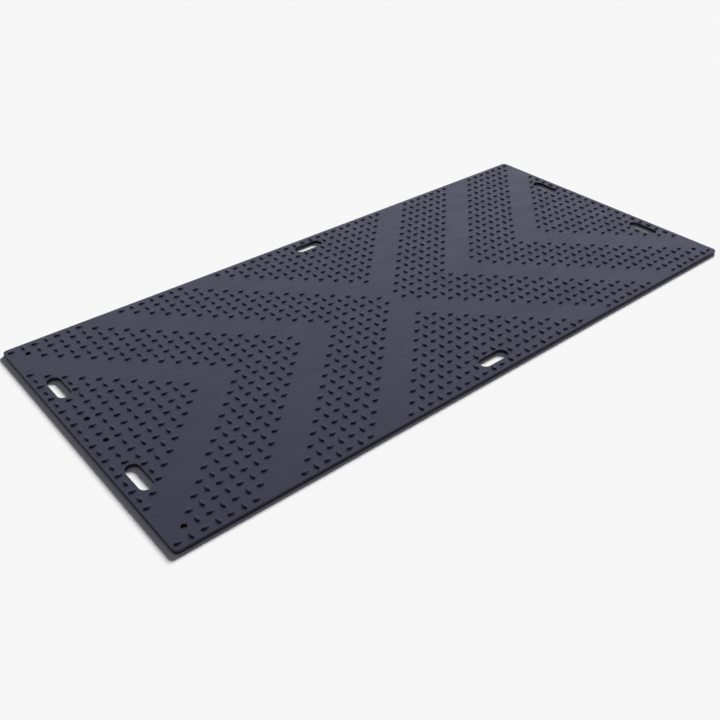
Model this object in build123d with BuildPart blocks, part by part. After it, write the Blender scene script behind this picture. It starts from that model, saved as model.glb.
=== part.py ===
"""Ground protection mat: one moulded plastic slab, flat below and studded for grip on top.

The slab lies flat. The origin is the middle of its underside, X runs along its length and Z is up.
Lozenge studs stand on a square grid, each turned a quarter turn from its neighbours. Six diagonal
bands of the grid are left bare, and read as chevrons that point at the middle of the mat. Hand
slots and link holes go right through the slab, each in place of the studs that it would cut.
"""

import os

from build123d import *

os.makedirs("parts", exist_ok=True)

# Slab
length = 2440.0
width = 1130.0
thickness = 12.7
corner_radius = 15.0
edge_chamfer = 1.5

# Grid of studs, mirrored about both centrelines: column 0 stands on the short centreline, and
# row 0 stands first_row away from the long one, on either side of it
pitch = 39.9
first_row = 22.3
columns_each_side = 30
rows_each_side = 14

# Studs
stud_length = 28.0
stud_width = 15.0
stud_height = 5.0
stud_root = 0.5

# Bare bands, counted in steps of the grid along the slab
first_band = -1
band_spacing = 10
bands_each_side = 3
band_half_width = 1

# Hand slots: two near each end, and one in the middle of each long side
slot_length = 122.0
slot_width = 44.0
end_column = 29
end_slot_row = 6
side_slot_row = 12
studs_per_slot = 3

# Link holes: four near each end
link_hole_radius = 9.0
link_rows = (1, 12)


def at_grid(column, row):
    """The two places, one on each side of the long centreline, at this column and row."""
    across = first_row + row * pitch
    return [(column * pitch, across), (column * pitch, -across)]


def in_band(column, row):
    """True where a diagonal band leaves the slab bare."""
    diagonal = abs(column) - row
    centres = [first_band + n * band_spacing for n in range(bands_each_side)]
    return any(abs(diagonal - centre) <= band_half_width for centre in centres)


def in_opening(column, row):
    """True where a hand slot or a link hole takes the stud's place."""
    reach = studs_per_slot // 2
    at_end = abs(column) == end_column
    end_slot = at_end and abs(row - end_slot_row) <= reach
    side_slot = abs(column) <= reach and row == side_slot_row
    link_hole = at_end and row in link_rows
    return end_slot or side_slot or link_hole


stud_places = []
for column in range(-columns_each_side, columns_each_side + 1):
    for row in range(rows_each_side):
        if in_band(column, row) or in_opening(column, row):
            continue
        turn = 90 if (column + row) % 2 == 0 else 0
        stud_places += [Location((x, y, thickness), (0, 0, turn)) for x, y in at_grid(column, row)]

# Stud: a four-sided lozenge, with its foot sunk a little into the slab
foot_scale = 1 + stud_root / stud_height
half_long = stud_length / 2 * foot_scale
half_short = stud_width / 2 * foot_scale

with BuildPart() as stud:
    with BuildSketch(Plane.XY.offset(-stud_root)) as foot:
        with BuildLine():
            Polyline((half_long, 0), (0, half_short), (-half_long, 0), (0, -half_short), close=True)
        make_face()
    loft([foot.sketch.face(), Vertex(0, 0, stud_height)], ruled=True)

# Mat: the slab with its openings, then the studs
end_slot_places = at_grid(-end_column, end_slot_row) + at_grid(end_column, end_slot_row)
side_slot_places = at_grid(0, side_slot_row)
link_places = [
    place for row in link_rows for end in (-end_column, end_column) for place in at_grid(end, row)
]

with BuildPart() as mat:
    with BuildSketch():
        RectangleRounded(length, width, corner_radius)
    extrude(amount=thickness)
    top = mat.faces().sort_by(Axis.Z)[-1]
    underside = mat.faces().sort_by(Axis.Z)[0]
    chamfer(top.edges() + underside.edges(), edge_chamfer)
    with BuildSketch() as openings:
        with Locations(*end_slot_places):
            SlotOverall(slot_length, slot_width, rotation=90)
        with Locations(*side_slot_places):
            SlotOverall(slot_length, slot_width)
        with Locations(*link_places):
            Circle(link_hole_radius)
    extrude(amount=thickness, mode=Mode.SUBTRACT)
    with Locations(*stud_places):
        add(stud.part)

mat.part.label = "mat"
export_step(mat.part, "parts/mat.step")

print("studs", len(stud_places), "volume", round(mat.part.volume), "solids", len(mat.solids()))
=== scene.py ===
"""Looks of a ground protection mat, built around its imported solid.

The mat is one moulded piece. Its slab is meshed here with rounded edges, hand slots and link
holes, and the foot of every stud is left in its top as a face of its own. A node tree then raises
the studs from those faces, so that the mat stays one closed mesh. All lengths are in metres.
"""

import math
import bmesh
import bpy
from bpy.props import FloatProperty, FloatVectorProperty, IntProperty, PointerProperty
from mathutils import Matrix, Vector
from mathutils.geometry import delaunay_2d_cdt


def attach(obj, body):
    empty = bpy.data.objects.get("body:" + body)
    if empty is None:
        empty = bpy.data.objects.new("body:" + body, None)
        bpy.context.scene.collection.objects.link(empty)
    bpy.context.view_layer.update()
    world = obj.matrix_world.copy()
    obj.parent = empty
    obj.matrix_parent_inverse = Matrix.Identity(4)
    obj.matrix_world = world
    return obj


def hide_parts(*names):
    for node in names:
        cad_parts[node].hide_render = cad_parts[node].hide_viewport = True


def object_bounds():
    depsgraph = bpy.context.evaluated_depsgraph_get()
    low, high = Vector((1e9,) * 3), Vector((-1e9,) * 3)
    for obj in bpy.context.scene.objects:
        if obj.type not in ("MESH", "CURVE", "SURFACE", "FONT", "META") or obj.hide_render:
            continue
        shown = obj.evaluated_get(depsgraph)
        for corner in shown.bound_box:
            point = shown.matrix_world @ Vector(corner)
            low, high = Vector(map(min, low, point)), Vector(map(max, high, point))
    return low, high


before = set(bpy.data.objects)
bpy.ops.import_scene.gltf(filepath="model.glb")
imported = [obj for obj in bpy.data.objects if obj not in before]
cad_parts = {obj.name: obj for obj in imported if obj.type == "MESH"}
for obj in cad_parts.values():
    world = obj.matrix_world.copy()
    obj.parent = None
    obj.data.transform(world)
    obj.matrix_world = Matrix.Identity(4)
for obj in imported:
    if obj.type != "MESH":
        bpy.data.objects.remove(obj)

bl_info = {
    "name": "Ground protection mat",
    "version": (1, 0, 0),
    "blender": (4, 5, 0),
    "location": "View3D > Sidebar > Ground Mat",
    "description": "Makes a studded ground protection mat and the studio that it lies in",
    "category": "Add Mesh",
}

NODE = "mat"
BODY = "root"
SLOT = "mat_plastic"
PIECE = "mat_body"
FOOT = "stud_foot"

CAD_LOW, CAD_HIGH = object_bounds()
SIZE = CAD_HIGH - CAD_LOW
STUD_HEIGHT = 0.005


class SlabSettings(bpy.types.PropertyGroup):
    """Sizes of the slab and of what goes through it."""

    length: FloatProperty(
        name="Length", description="Length of the slab, along X",
        default=SIZE.x, unit="LENGTH",
    )
    width: FloatProperty(
        name="Width", description="Width of the slab, along Y",
        default=SIZE.y, unit="LENGTH",
    )
    thickness: FloatProperty(
        name="Thickness", description="Thickness of the slab under its studs",
        default=SIZE.z - STUD_HEIGHT, unit="LENGTH",
    )
    corner_radius: FloatProperty(
        name="Corner Radius", description="Radius of the four corners, seen from above",
        default=0.015, unit="LENGTH",
    )
    edge_radius: FloatProperty(
        name="Edge Radius", description="Rounding of the rim, above and below",
        default=0.0018, unit="LENGTH",
    )
    opening_radius: FloatProperty(
        name="Opening Edge Radius", description="Rounding of the edges of slots and holes",
        default=0.001, unit="LENGTH",
    )
    slot_length: FloatProperty(
        name="Slot Length", description="Overall length of a hand slot",
        default=0.122, unit="LENGTH",
    )
    slot_width: FloatProperty(
        name="Slot Width", description="Width of a hand slot",
        default=0.044, unit="LENGTH",
    )
    hole_radius: FloatProperty(
        name="Link Hole Radius", description="Radius of a link hole",
        default=0.009, unit="LENGTH",
    )


class StudSettings(bpy.types.PropertyGroup):
    """The grid of studs, the bands that are left bare, and the form of one stud."""

    pitch: FloatProperty(
        name="Pitch", description="Step of the square grid",
        default=0.0399, unit="LENGTH",
    )
    first_row: FloatProperty(
        name="First Row", description="From the long centreline to the row on each side of it",
        default=0.0223, unit="LENGTH",
    )
    columns_each_side: IntProperty(
        name="Columns Each Side", description="Columns beyond the one on the short centreline",
        default=30, min=1,
    )
    rows_each_side: IntProperty(
        name="Rows Each Side", description="Rows on each side of the long centreline",
        default=14, min=1,
    )
    first_band: IntProperty(
        name="First Band", description="Step along the grid at which the middle bands meet",
        default=-1,
    )
    band_spacing: IntProperty(
        name="Band Spacing", description="Steps of the grid from one band to the next",
        default=10, min=1,
    )
    bands_each_side: IntProperty(
        name="Bands Each Side", description="Bands on each side of the short centreline",
        default=3, min=0,
    )
    band_half_width: IntProperty(
        name="Band Half Width", description="Steps left bare on each side of a band's middle",
        default=1, min=0,
    )
    stud_length: FloatProperty(
        name="Stud Length", description="Length of a stud at its foot",
        default=0.028, unit="LENGTH",
    )
    stud_width: FloatProperty(
        name="Stud Width", description="Width of a stud at its foot",
        default=0.015, unit="LENGTH",
    )
    stud_height: FloatProperty(
        name="Stud Height", description="Height of a stud above the slab",
        default=STUD_HEIGHT, unit="LENGTH",
    )
    roundness: FloatProperty(
        name="Roundness", description="Plan of a stud, from 1, a lozenge, to 2, an oval",
        default=1.5, min=1.0, max=2.0,
    )


class FinishSettings(bpy.types.PropertyGroup):
    """Colour and gloss of the plastic."""

    colour: FloatVectorProperty(
        name="Colour", description="Colour of the plastic",
        default=(0.0218, 0.021, 0.029), size=3, subtype="COLOR", min=0.0, max=1.0,
    )
    sheen_colour: FloatVectorProperty(
        name="Gloss Colour", description="Cast of the plastic's gloss",
        default=(0.73, 0.71, 1.0), size=3, subtype="COLOR", min=0.0, max=1.0,
    )
    gloss: FloatProperty(
        name="Gloss", description="Strength of the plastic's gloss",
        default=0.53, min=0.0, max=1.0,
    )
    roughness: FloatProperty(
        name="Roughness", description="Roughness in the middle of its range",
        default=0.43, min=0.0, max=1.0,
    )


class StageSettings(bpy.types.PropertyGroup):
    """Floor, light and camera."""

    floor_size: FloatProperty(
        name="Floor Size", description="Side of the square floor",
        default=60.0, unit="LENGTH",
    )
    floor_colour: FloatVectorProperty(
        name="Floor Colour", description="Colour of the floor",
        default=(0.985, 0.988, 0.968), size=3, subtype="COLOR", min=0.0, max=1.0,
    )
    room_colour: FloatVectorProperty(
        name="Room Colour", description="Colour of the surroundings and of the fill lamp",
        default=(0.84, 0.825, 1.0), size=3, subtype="COLOR", min=0.0, max=1.0,
    )
    room_dark: FloatProperty(
        name="Dark Side", description="Brightness of the surroundings behind the camera",
        default=0.04, min=0.0,
    )
    room_bright: FloatProperty(
        name="Bright Side", description="Brightness of the surroundings beyond the mat",
        default=1.25, min=0.0,
    )
    room_edge: FloatProperty(
        name="Dark Edge", description="Where the dark side ends: 0 is square to the bright side",
        default=-0.1, min=-1.0, max=0.9,
    )
    room_towards: FloatVectorProperty(
        name="Bright Side Direction", description="Direction in which the surroundings are bright",
        default=(0.65, 0.6, 0.3), size=3, subtype="DIRECTION",
    )
    key_strength: FloatProperty(
        name="Key Strength", description="Strength of the main lamp",
        default=6.53, min=0.0,
    )
    key_angle: FloatProperty(
        name="Key Angle", description="Apparent size of the main lamp",
        default=math.radians(16), subtype="ANGLE",
    )
    key_towards: FloatVectorProperty(
        name="Key Direction", description="Direction that the main lamp shines from",
        default=(0.85, 0.5, 0.44), size=3, subtype="DIRECTION",
    )
    fill_strength: FloatProperty(
        name="Fill Strength", description="Strength of the wide lamp overhead that fills shadows",
        default=0.35, min=0.0,
    )
    fill_angle: FloatProperty(
        name="Fill Angle", description="Apparent size of the wide lamp overhead",
        default=math.radians(150), subtype="ANGLE",
    )
    camera_place: FloatVectorProperty(
        name="Camera Place", description="Where the camera stands",
        default=(-1.7928, -1.9732, 1.6435), size=3, subtype="TRANSLATION",
    )
    camera_yaw: FloatProperty(
        name="Camera Yaw", description="Turn of the camera from +Y towards +X",
        default=math.radians(39.778), subtype="ANGLE",
    )
    camera_pitch: FloatProperty(
        name="Camera Pitch", description="Angle by which the camera looks down",
        default=math.radians(35.718), subtype="ANGLE",
    )
    camera_roll: FloatProperty(
        name="Camera Roll", description="Clockwise turn of the camera about the way it looks",
        default=math.radians(0.108), subtype="ANGLE",
    )
    lens: FloatProperty(
        name="Lens", description="Focal length of the camera, in millimetres",
        default=42.865,
    )


# Columns and rows of the openings, in steps of the stud grid, and how far a slot reaches
END_COLUMN = 29
END_SLOT_ROW = 6
SIDE_SLOT_ROW = 12
LINK_ROWS = (1, 12)
SLOT_REACH = 1

# How far the floor lies below the mat, so that their faces don't coincide
FLOOR_GAP = 0.0002

# How far from the origin the lamps are drawn, which doesn't change their light
LAMP_DISTANCE = 4


def at_grid(studs, column, row):
    """The two places, one on each side of the long centreline, at this column and row."""
    across = studs.first_row + row * studs.pitch
    return [Vector((column * studs.pitch, across)), Vector((column * studs.pitch, -across))]


def in_band(studs, column, row):
    """True where a diagonal band leaves the slab bare."""
    diagonal = abs(column) - row
    centres = [studs.first_band + n * studs.band_spacing for n in range(studs.bands_each_side)]
    return any(abs(diagonal - centre) <= studs.band_half_width for centre in centres)


def in_opening(column, row):
    """True where a hand slot or a link hole takes the stud's place."""
    at_end = abs(column) == END_COLUMN
    end_slot = at_end and abs(row - END_SLOT_ROW) <= SLOT_REACH
    side_slot = abs(column) <= SLOT_REACH and row == SIDE_SLOT_ROW
    return end_slot or side_slot or (at_end and row in LINK_ROWS)


def stud_places(studs):
    """Every stud's place on the slab, with True where its length runs along Y."""
    places = []
    for column in range(-studs.columns_each_side, studs.columns_each_side + 1):
        for row in range(studs.rows_each_side):
            if in_band(studs, column, row) or in_opening(column, row):
                continue
            turned = (column + row) % 2 == 0
            places += [(place, turned) for place in at_grid(studs, column, row)]
    return places


def arc(centre, radius, start, sweep, steps):
    """Points on an arc, both ends included. Angles are in degrees."""
    points = []
    for i in range(steps + 1):
        angle = math.radians(start + sweep * i / steps)
        points.append(centre + radius * Vector((math.cos(angle), math.sin(angle))))
    return points


def rounded_outline(length, width, radius, steps=8):
    """Loop of a rectangle with rounded corners, counter-clockwise."""
    points = []
    for start, sx, sy in ((0, 1, 1), (90, -1, 1), (180, -1, -1), (270, 1, -1)):
        centre = Vector((sx * (length / 2 - radius), sy * (width / 2 - radius)))
        points += arc(centre, radius, start, 90, steps)
    return points


def slot_outline(centre, length, width, along_y, steps=16):
    """Loop of a slot with round ends, counter-clockwise."""
    run = length / 2 - width / 2
    if along_y:
        ends = ((Vector((0, run)), 0), (Vector((0, -run)), 180))
    else:
        ends = ((Vector((run, 0)), -90), (Vector((-run, 0)), 90))
    points = []
    for offset, start in ends:
        points += arc(centre + offset, width / 2, start, 180, steps)
    return points


def hole_outline(centre, radius, steps=24):
    """Loop of a round hole, counter-clockwise."""
    return arc(centre, radius, 0, 360 - 360 / steps, steps - 1)


def stud_outline(centre, studs, turned, sides=12):
    """Loop of a stud's foot: a lozenge with softened tips and sides."""
    power = 2 / studs.roundness
    points = []
    for i in range(sides):
        angle = 2 * math.pi * i / sides
        c, s = math.cos(angle), math.sin(angle)
        x = math.copysign(abs(c) ** power, c) * studs.stud_length / 2
        y = math.copysign(abs(s) ** power, s) * studs.stud_width / 2
        points.append(centre + (Vector((-y, x)) if turned else Vector((x, y))))
    return points


def walls(slab, studs):
    """The slab's walls, the rim first, as pairs of an outline and the radius of its edges.

    outline(cut) is the wall's loop where its material is cut back by cut.
    """

    def rim(cut):
        length, width = slab.length - 2 * cut, slab.width - 2 * cut
        return rounded_outline(length, width, slab.corner_radius - cut)

    def slot(place, along_y):
        def outline(cut):
            length, width = slab.slot_length + 2 * cut, slab.slot_width + 2 * cut
            return slot_outline(place, length, width, along_y)

        return outline

    def hole(place):
        return lambda cut: hole_outline(place, slab.hole_radius + cut)

    ends = (-END_COLUMN, END_COLUMN)
    openings = [slot(p, True) for end in ends for p in at_grid(studs, end, END_SLOT_ROW)]
    openings += [slot(p, False) for p in at_grid(studs, 0, SIDE_SLOT_ROW)]
    openings += [hole(p) for row in LINK_ROWS for end in ends for p in at_grid(studs, end, row)]
    return [(rim, slab.edge_radius)] + [(outline, slab.opening_radius) for outline in openings]


def rings_down_wall(outline, thickness, radius, steps=3):
    """A wall's loops from the top face to the underside, as (points, height) pairs."""
    rings = []
    for i in range(steps + 1):
        angle = math.pi / 2 * i / steps
        cut = radius * (1 - math.sin(angle))
        rings.append((outline(cut), thickness - radius * (1 - math.cos(angle))))
    return rings + [(points, thickness - height) for points, height in reversed(rings)]


def add_wall(mesh, rings):
    """Adds a wall, and returns its loops of vertices in the top face and in the underside."""
    loops = [[mesh.verts.new((p.x, p.y, height)) for p in points] for points, height in rings]
    for upper, lower in zip(loops, loops[1:]):
        for i in range(len(upper)):
            mesh.faces.new((upper[i - 1], lower[i - 1], lower[i], upper[i]))
    return loops[0], loops[-1]


def add_cap(mesh, outer, holes):
    """Fills the face between an outer loop of vertices and the loops inside it."""
    loops = [outer] + holes
    verts = [vert for loop in loops for vert in loop]
    faces, start = [], 0
    for loop in loops:
        faces.append(list(range(start, start + len(loop))))
        start += len(loop)
    points = [Vector(vert.co.xy) for vert in verts]
    inside_faces, merge_distance = 1, 1e-7
    _, _, triangles, source, _, owners = delaunay_2d_cdt(
        points, [], faces, inside_faces, merge_distance
    )
    # A triangle that lies in a hole is owned by the hole's loop as well as by the outer one
    for triangle, owner in zip(triangles, owners):
        if list(owner) == [0]:
            mesh.faces.new([verts[source[index][0]] for index in triangle])


def make_slab_mesh(slab, studs):
    """The slab as one closed mesh, with each stud's foot as a marked face in its top."""
    mesh = bmesh.new()
    foot_mark = mesh.faces.layers.bool.new(FOOT)

    tops, undersides = [], []
    for outline, radius in walls(slab, studs):
        top, underside = add_wall(mesh, rings_down_wall(outline, slab.thickness, radius))
        tops.append(top)
        undersides.append(underside)

    feet = []
    for place, turned in stud_places(studs):
        points = stud_outline(place, studs, turned)
        foot = [mesh.verts.new((p.x, p.y, slab.thickness)) for p in points]
        mesh.faces.new(foot)[foot_mark] = True
        feet.append(foot)

    add_cap(mesh, tops[0], tops[1:] + feet)
    add_cap(mesh, undersides[0], undersides[1:])
    bmesh.ops.recalc_face_normals(mesh, faces=mesh.faces)
    return mesh


def link(name, data):
    """A new object in the scene, at the origin."""
    made = bpy.data.objects.new(name, data)
    bpy.context.scene.collection.objects.link(made)
    return made


def node(tree, kind, at, **settings):
    """A new node, drawn at a place. Inputs are set by a dictionary, and properties by name."""
    made = tree.nodes.new(kind)
    made.location = at
    for key, value in settings.pop("inputs", {}).items():
        made.inputs[key].default_value = value
    for key, value in settings.items():
        setattr(made, key, value)
    return made


def plastic(finish):
    """Moulded plastic: near black, with a fine grain and a gloss that varies a little."""
    material = bpy.data.materials.new(SLOT)
    material.use_nodes = True
    tree = material.node_tree
    tree.nodes.clear()
    out = node(tree, "ShaderNodeOutputMaterial", (800, 0))
    shader = node(tree, "ShaderNodeBsdfPrincipled", (500, 0))
    shader.inputs["IOR"].default_value = 1.5
    shader.inputs["Specular IOR Level"].default_value = finish.gloss
    shader.inputs["Specular Tint"].default_value = (*finish.sheen_colour, 1)
    tree.links.new(shader.outputs["BSDF"], out.inputs["Surface"])
    place = node(tree, "ShaderNodeTexCoord", (-900, 0))

    # Flow of the melt: broad soft patches, drawn out along the slab, in colour and gloss
    tint_spread = 0.12
    flow_place = node(tree, "ShaderNodeMapping", (-700, 200))
    flow_place.inputs["Scale"].default_value = (1, 2.2, 1)
    flow = node(
        tree, "ShaderNodeTexNoise", (-500, 200),
        inputs={"Scale": 7, "Detail": 5, "Roughness": 0.55, "Distortion": 0.4},
    )
    tint = node(tree, "ShaderNodeMix", (100, 250), data_type="RGBA")
    for end, strength in (("A", 1 - tint_spread), ("B", 1 + tint_spread)):
        tint.inputs[end].default_value = (*[strength * c for c in finish.colour], 1)
    tree.links.new(place.outputs["Object"], flow_place.inputs["Vector"])
    tree.links.new(flow_place.outputs["Vector"], flow.inputs["Vector"])
    tree.links.new(flow.outputs["Fac"], tint.inputs["Factor"])
    tree.links.new(tint.outputs["Result"], shader.inputs["Base Color"])

    # Scuffs: small patches that, with the flow, make the gloss uneven
    scuff_share = 0.5
    least, most = 0.45, 1.05
    roughness_spread = 0.08
    scuff = node(
        tree, "ShaderNodeTexNoise", (-500, -50),
        inputs={"Scale": 90, "Detail": 4, "Roughness": 0.6},
    )
    blend = node(tree, "ShaderNodeMath", (-250, 50), operation="MULTIPLY_ADD")
    blend.inputs[1].default_value = scuff_share
    gloss = node(
        tree, "ShaderNodeMapRange", (100, 0),
        inputs={
            "From Min": least, "From Max": most,
            "To Min": finish.roughness - roughness_spread,
            "To Max": finish.roughness + roughness_spread,
        },
    )
    tree.links.new(place.outputs["Object"], scuff.inputs["Vector"])
    tree.links.new(scuff.outputs["Fac"], blend.inputs[0])
    tree.links.new(flow.outputs["Fac"], blend.inputs[2])
    tree.links.new(blend.outputs["Value"], gloss.inputs["Value"])
    tree.links.new(gloss.outputs["Result"], shader.inputs["Roughness"])

    # Grain of the mould: a fine pebble over a slight waviness
    pebble = node(
        tree, "ShaderNodeTexNoise", (-500, -300),
        inputs={"Scale": 700, "Detail": 2, "Roughness": 0.5},
    )
    wave = node(
        tree, "ShaderNodeTexNoise", (-500, -550),
        inputs={"Scale": 45, "Detail": 2, "Roughness": 0.4},
    )
    fine = node(
        tree, "ShaderNodeBump", (-100, -300), inputs={"Strength": 0.6, "Distance": 0.0003}
    )
    coarse = node(
        tree, "ShaderNodeBump", (200, -300), inputs={"Strength": 0.5, "Distance": 0.0006}
    )
    tree.links.new(place.outputs["Object"], pebble.inputs["Vector"])
    tree.links.new(place.outputs["Object"], wave.inputs["Vector"])
    tree.links.new(pebble.outputs["Fac"], fine.inputs["Height"])
    tree.links.new(wave.outputs["Fac"], coarse.inputs["Height"])
    tree.links.new(fine.outputs["Normal"], coarse.inputs["Normal"])
    tree.links.new(coarse.outputs["Normal"], shader.inputs["Normal"])
    return material


# One stud from its foot up: share of the height and plan size there, against the foot
STUD_RINGS = (
    ("Base", 0.45, 0.86),
    ("Flank", 0.86, 0.70),
    ("Shoulder", 0.97, 0.50),
    ("Crown", 1.00, 0.28),
)


def stud_tree():
    """Node tree that raises a stud from every marked face."""
    tree = bpy.data.node_groups.new("Raise studs", "GeometryNodeTree")
    sockets = tree.interface
    sockets.new_socket("Geometry", in_out="INPUT", socket_type="NodeSocketGeometry")
    sockets.new_socket("Foot", in_out="INPUT", socket_type="NodeSocketBool")
    sockets.new_socket("Height", in_out="INPUT", socket_type="NodeSocketFloat")
    for name, _, _ in STUD_RINGS:
        sockets.new_socket(name + " Height", in_out="INPUT", socket_type="NodeSocketFloat")
        sockets.new_socket(name + " Size", in_out="INPUT", socket_type="NodeSocketFloat")
    sockets.new_socket("Material", in_out="INPUT", socket_type="NodeSocketMaterial")
    sockets.new_socket("Geometry", in_out="OUTPUT", socket_type="NodeSocketGeometry")

    given = node(tree, "NodeGroupInput", (-300, 0))
    shape, chosen = given.outputs["Geometry"], given.outputs["Foot"]
    last_height = last_size = None

    # Each ring raises the marked faces by its share of the height, then shrinks them to its size
    block = 700
    for step, (name, _, _) in enumerate(STUD_RINGS):
        x = step * block
        rise = node(tree, "ShaderNodeMath", (x, -200), operation="SUBTRACT")
        rise.inputs[1].default_value = 0
        lift = node(tree, "ShaderNodeMath", (x + 160, -200), operation="MULTIPLY")
        shrink = node(tree, "ShaderNodeMath", (x, -400), operation="DIVIDE")
        shrink.inputs[1].default_value = 1
        tree.links.new(given.outputs[name + " Height"], rise.inputs[0])
        tree.links.new(given.outputs[name + " Size"], shrink.inputs[0])
        if last_height:
            tree.links.new(last_height, rise.inputs[1])
            tree.links.new(last_size, shrink.inputs[1])
        last_height = given.outputs[name + " Height"]
        last_size = given.outputs[name + " Size"]
        tree.links.new(rise.outputs[0], lift.inputs[0])
        tree.links.new(given.outputs["Height"], lift.inputs[1])

        extrude = node(tree, "GeometryNodeExtrudeMesh", (x + 320, 0), mode="FACES")
        extrude.inputs["Individual"].default_value = True
        tree.links.new(shape, extrude.inputs["Mesh"])
        tree.links.new(chosen, extrude.inputs["Selection"])
        tree.links.new(lift.outputs[0], extrude.inputs["Offset Scale"])
        scale = node(tree, "GeometryNodeScaleElements", (x + 500, 0), domain="FACE")
        tree.links.new(extrude.outputs["Mesh"], scale.inputs["Geometry"])
        tree.links.new(extrude.outputs["Top"], scale.inputs["Selection"])
        tree.links.new(shrink.outputs[0], scale.inputs["Scale"])
        shape, chosen = scale.outputs["Geometry"], extrude.outputs["Top"]

    x = len(STUD_RINGS) * block
    whole = node(tree, "GeometryNodeRealizeInstances", (x, 0))
    paint = node(tree, "GeometryNodeSetMaterial", (x + 200, 0))
    out = node(tree, "NodeGroupOutput", (x + 400, 0))
    tree.links.new(shape, whole.inputs["Geometry"])
    tree.links.new(whole.outputs["Geometry"], paint.inputs["Geometry"])
    tree.links.new(given.outputs["Material"], paint.inputs["Material"])
    tree.links.new(paint.outputs["Geometry"], out.inputs["Geometry"])
    return tree


def shade(mesh, top):
    """Shades the mat smooth, apart from the level faces of the slab's top and underside."""
    level, touching = 0.9999, 1e-5
    for face in mesh.polygons:
        from_slab = min(abs(face.center.z), abs(face.center.z - top))
        face.use_smooth = abs(face.normal.z) <= level or from_slab >= touching


def add_lamp(name, strength, angle, towards, colour):
    """Adds a distant lamp that shines from one direction, and that no gloss shows."""
    data = bpy.data.lights.new(name, "SUN")
    data.energy = strength
    data.angle = angle
    data.color = colour
    lamp = link(name, data)
    aim = Vector(towards).normalized()
    lamp.rotation_euler = aim.to_track_quat("Z", "Y").to_euler()
    lamp.location = aim * LAMP_DISTANCE
    lamp.visible_glossy = False


class GROUNDMAT_OT_slab(bpy.types.Operator):
    """Makes the slab with its hand slots and link holes"""

    bl_idname = "ground_mat.slab"
    bl_label = "Make Slab"

    def execute(self, context):
        scene = context.scene
        mesh = make_slab_mesh(scene.mat_slab, scene.mat_studs)
        data = bpy.data.meshes.new(PIECE)
        mesh.to_mesh(data)
        mesh.free()
        link(PIECE, data)
        return {"FINISHED"}


class GROUNDMAT_OT_studs(bpy.types.Operator):
    """Raises the studs from the slab and finishes the mat"""

    bl_idname = "ground_mat.studs"
    bl_label = "Raise Studs"

    def execute(self, context):
        scene = context.scene
        piece = bpy.data.objects[PIECE]
        tree = stud_tree()
        modifier = piece.modifiers.new("Studs", "NODES")
        modifier.node_group = tree
        values = {"Height": scene.mat_studs.stud_height, "Material": plastic(scene.mat_finish)}
        for name, height, size in STUD_RINGS:
            values[name + " Height"] = height
            values[name + " Size"] = size
        for item in tree.interface.items_tree:
            if item.in_out == "INPUT" and item.name in values:
                modifier[item.identifier] = values[item.name]
            if item.name == "Foot":
                modifier[item.identifier + "_use_attribute"] = True
                modifier[item.identifier + "_attribute_name"] = FOOT
        evaluated = piece.evaluated_get(context.evaluated_depsgraph_get())
        baked = bpy.data.meshes.new_from_object(evaluated)
        piece.modifiers.clear()
        piece.data = baked
        piece.data.name = PIECE
        if FOOT in baked.attributes:
            baked.attributes.remove(baked.attributes[FOOT])
        shade(baked, scene.mat_slab.thickness)
        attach(piece, BODY)
        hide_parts(NODE)
        return {"FINISHED"}


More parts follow.
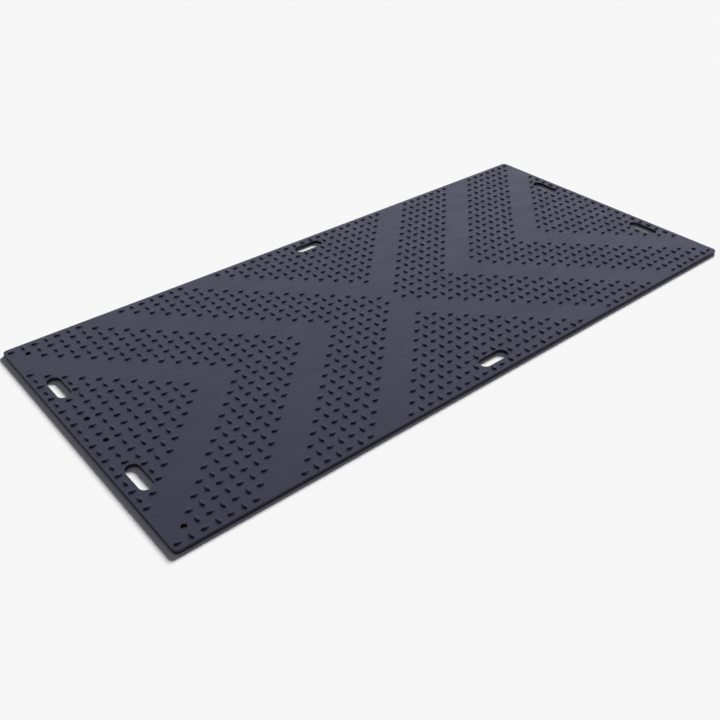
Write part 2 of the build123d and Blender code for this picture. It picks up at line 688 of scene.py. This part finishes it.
class GROUNDMAT_OT_stage(bpy.types.Operator):
    """Makes the floor, the lights and the camera"""

    bl_idname = "ground_mat.stage"
    bl_label = "Make Stage"

    def execute(self, context):
        stage = context.scene.mat_stage
        self.floor(stage)
        self.light(context.scene, stage)
        self.camera(context.scene, stage)
        return {"FINISHED"}

    def floor(self, stage):
        """Makes a pale floor of matt paper."""
        half = stage.floor_size / 2
        data = bpy.data.meshes.new("floor")
        corners = [(x * half, y * half, -FLOOR_GAP) for x, y in ((-1, -1), (1, -1), (1, 1), (-1, 1))]
        data.from_pydata(corners, [], [(0, 1, 2, 3)])
        material = bpy.data.materials.new("floor_paper")
        material.use_nodes = True
        shader = material.node_tree.nodes["Principled BSDF"]
        shader.inputs["Base Color"].default_value = (*stage.floor_colour, 1)
        shader.inputs["Roughness"].default_value = 0.9
        shader.inputs["Specular IOR Level"].default_value = 0.1
        data.materials.append(material)
        link("floor", data)

    def light(self, scene, stage):
        """Makes the lamps and the surroundings."""
        white, overhead = (1, 1, 1), (0, 0, 1)
        add_lamp("key", stage.key_strength, stage.key_angle, stage.key_towards, white)
        add_lamp("fill", stage.fill_strength, stage.fill_angle, overhead, stage.room_colour)

        # The gloss shows these surroundings, and the lamps give all the other light
        world = bpy.data.worlds.new("studio")
        scene.world = world
        world.cycles_visibility.diffuse = False
        world.use_nodes = True
        tree = world.node_tree
        tree.nodes.clear()
        out = node(tree, "ShaderNodeOutputWorld", (600, 0))
        room = node(tree, "ShaderNodeBackground", (200, 100))
        room.inputs["Color"].default_value = (*stage.room_colour, 1)
        place = node(tree, "ShaderNodeTexCoord", (-600, 200))
        side = node(tree, "ShaderNodeVectorMath", (-400, 200), operation="DOT_PRODUCT")
        side.inputs[1].default_value = Vector(stage.room_towards).normalized()
        level = node(
            tree, "ShaderNodeMapRange", (-200, 200),
            inputs={
                "From Min": stage.room_edge, "From Max": 1,
                "To Min": stage.room_dark, "To Max": stage.room_bright,
            },
        )
        tree.links.new(place.outputs["Generated"], side.inputs[0])
        tree.links.new(side.outputs["Value"], level.inputs["Value"])
        tree.links.new(level.outputs["Result"], room.inputs["Strength"])

        # The camera sees a white backdrop in their place
        backdrop = node(tree, "ShaderNodeBackground", (200, -100))
        backdrop.inputs["Color"].default_value = (*white, 1)
        backdrop.inputs["Strength"].default_value = 1
        path = node(tree, "ShaderNodeLightPath", (200, 400))
        mix = node(tree, "ShaderNodeMixShader", (400, 0))
        tree.links.new(path.outputs["Is Camera Ray"], mix.inputs["Fac"])
        tree.links.new(room.outputs["Background"], mix.inputs[1])
        tree.links.new(backdrop.outputs["Background"], mix.inputs[2])
        tree.links.new(mix.outputs["Shader"], out.inputs["Surface"])
        scene.view_settings.view_transform = "Standard"

    def camera(self, scene, stage):
        """Puts the camera where the photo was taken from."""
        yaw, pitch, roll = stage.camera_yaw, stage.camera_pitch, stage.camera_roll
        right = Vector((math.cos(yaw), -math.sin(yaw), 0))
        ahead = Vector(
            (math.sin(yaw) * math.cos(pitch), math.cos(yaw) * math.cos(pitch), -math.sin(pitch))
        )
        down = ahead.cross(right)
        across = right * math.cos(roll) + down * math.sin(roll)
        below = down * math.cos(roll) - right * math.sin(roll)
        data = bpy.data.cameras.new("camera")
        data.sensor_width = 36
        data.lens = stage.lens
        data.clip_end = 200
        camera = link("camera", data)
        turn = Matrix((across, -below, -ahead)).transposed()
        camera.matrix_world = Matrix.Translation(stage.camera_place) @ turn.to_4x4()
        scene.camera = camera


class GROUNDMAT_PT_panel(bpy.types.Panel):
    """Lists the steps in the order that they run"""

    bl_idname = "GROUNDMAT_PT_panel"
    bl_label = "Ground Mat"
    bl_space_type = "VIEW_3D"
    bl_region_type = "UI"
    bl_category = "Ground Mat"

    def draw(self, context):
        for settings in SETTINGS:
            box = self.layout.box()
            group = getattr(context.scene, settings)
            for name in group.__annotations__:
                box.prop(group, name)
        for operator in OPERATORS:
            self.layout.operator(operator.bl_idname)


SETTINGS = {
    "mat_slab": SlabSettings,
    "mat_studs": StudSettings,
    "mat_finish": FinishSettings,
    "mat_stage": StageSettings,
}
OPERATORS = (GROUNDMAT_OT_slab, GROUNDMAT_OT_studs, GROUNDMAT_OT_stage)
CLASSES = (*SETTINGS.values(), *OPERATORS, GROUNDMAT_PT_panel)


def register():
    for cls in CLASSES:
        bpy.utils.register_class(cls)
    for name, cls in SETTINGS.items():
        setattr(bpy.types.Scene, name, PointerProperty(type=cls))


def unregister():
    for name in SETTINGS:
        delattr(bpy.types.Scene, name)
    for cls in reversed(CLASSES):
        bpy.utils.unregister_class(cls)


def main():
    register()
    bpy.ops.ground_mat.slab()
    bpy.ops.ground_mat.studs()
    bpy.ops.ground_mat.stage()


if __name__ == "__main__":
    main()
